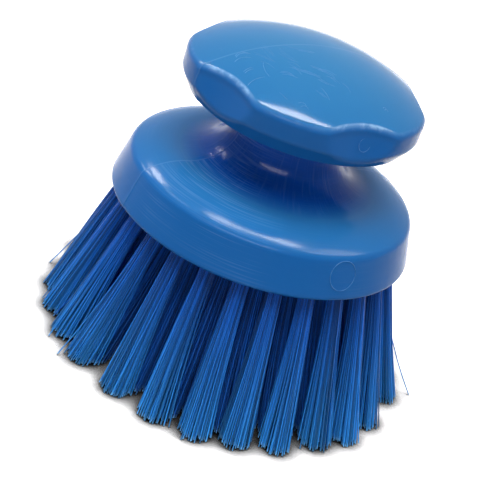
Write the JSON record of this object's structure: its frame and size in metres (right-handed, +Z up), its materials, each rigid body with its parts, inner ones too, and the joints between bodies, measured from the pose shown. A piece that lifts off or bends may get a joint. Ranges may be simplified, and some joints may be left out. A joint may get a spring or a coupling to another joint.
{
  "type": "bucket brush",
  "caption": "Round hand scrubbing brush with a scalloped palm knob on a flared neck and rings of stiff bristle tufts splayed below a thick disc block.",
  "frame": {"origin": "centre of the bristle tips, on the flat that they stand on", "axes": "+Z up the handle from the bristle tips to the palm knob; the mould halves meet in the XZ plane, and one finger scallop of the knob faces -Y"},
  "size_m": [0.1336, 0.1328, 0.1137],
  "materials": {
    "moulding": "satin moulded polypropylene, mid blue",
    "filament": "extruded polyester filament, mid blue"
  },
  "bodies": {
    "root": {"handle_block": "moulding", "tuft_outer_01": "filament", "tuft_outer_02": "filament", "tuft_outer_03": "filament", "tuft_outer_04": "filament", "tuft_outer_05": "filament", "tuft_outer_06": "filament", "tuft_outer_07": "filament", "tuft_outer_08": "filament", "tuft_outer_09": "filament", "tuft_outer_10": "filament", "tuft_outer_11": "filament", "tuft_outer_12": "filament", "tuft_outer_13": "filament", "tuft_outer_14": "filament", "tuft_outer_15": "filament", "tuft_outer_16": "filament", "tuft_outer_17": "filament", "tuft_outer_18": "filament", "tuft_outer_19": "filament", "tuft_outer_20": "filament", "tuft_outer_21": "filament", "tuft_outer_22": "filament", "tuft_outer_23": "filament", "tuft_outer_24": "filament", "tuft_outer_25": "filament", "tuft_outer_26": "filament", "tuft_second_01": "filament", "tuft_second_02": "filament", "tuft_second_03": "filament", "tuft_second_04": "filament", "tuft_second_05": "filament", "tuft_second_06": "filament", "tuft_second_07": "filament", "tuft_second_08": "filament", "tuft_second_09": "filament", "tuft_second_10": "filament", "tuft_second_11": "filament", "tuft_second_12": "filament", "tuft_second_13": "filament", "tuft_second_14": "filament", "tuft_second_15": "filament", "tuft_second_16": "filament", "tuft_second_17": "filament", "tuft_second_18": "filament", "tuft_second_19": "filament", "tuft_second_20": "filament", "tuft_third_01": "filament", "tuft_third_02": "filament", "tuft_third_03": "filament", "tuft_third_04": "filament", "tuft_third_05": "filament", "tuft_third_06": "filament", "tuft_third_07": "filament", "tuft_third_08": "filament", "tuft_third_09": "filament", "tuft_inner_01": "filament", "tuft_inner_02": "filament", "tuft_inner_03": "filament", "tuft_inner_04": "filament"}
  },
  "joints": []
}
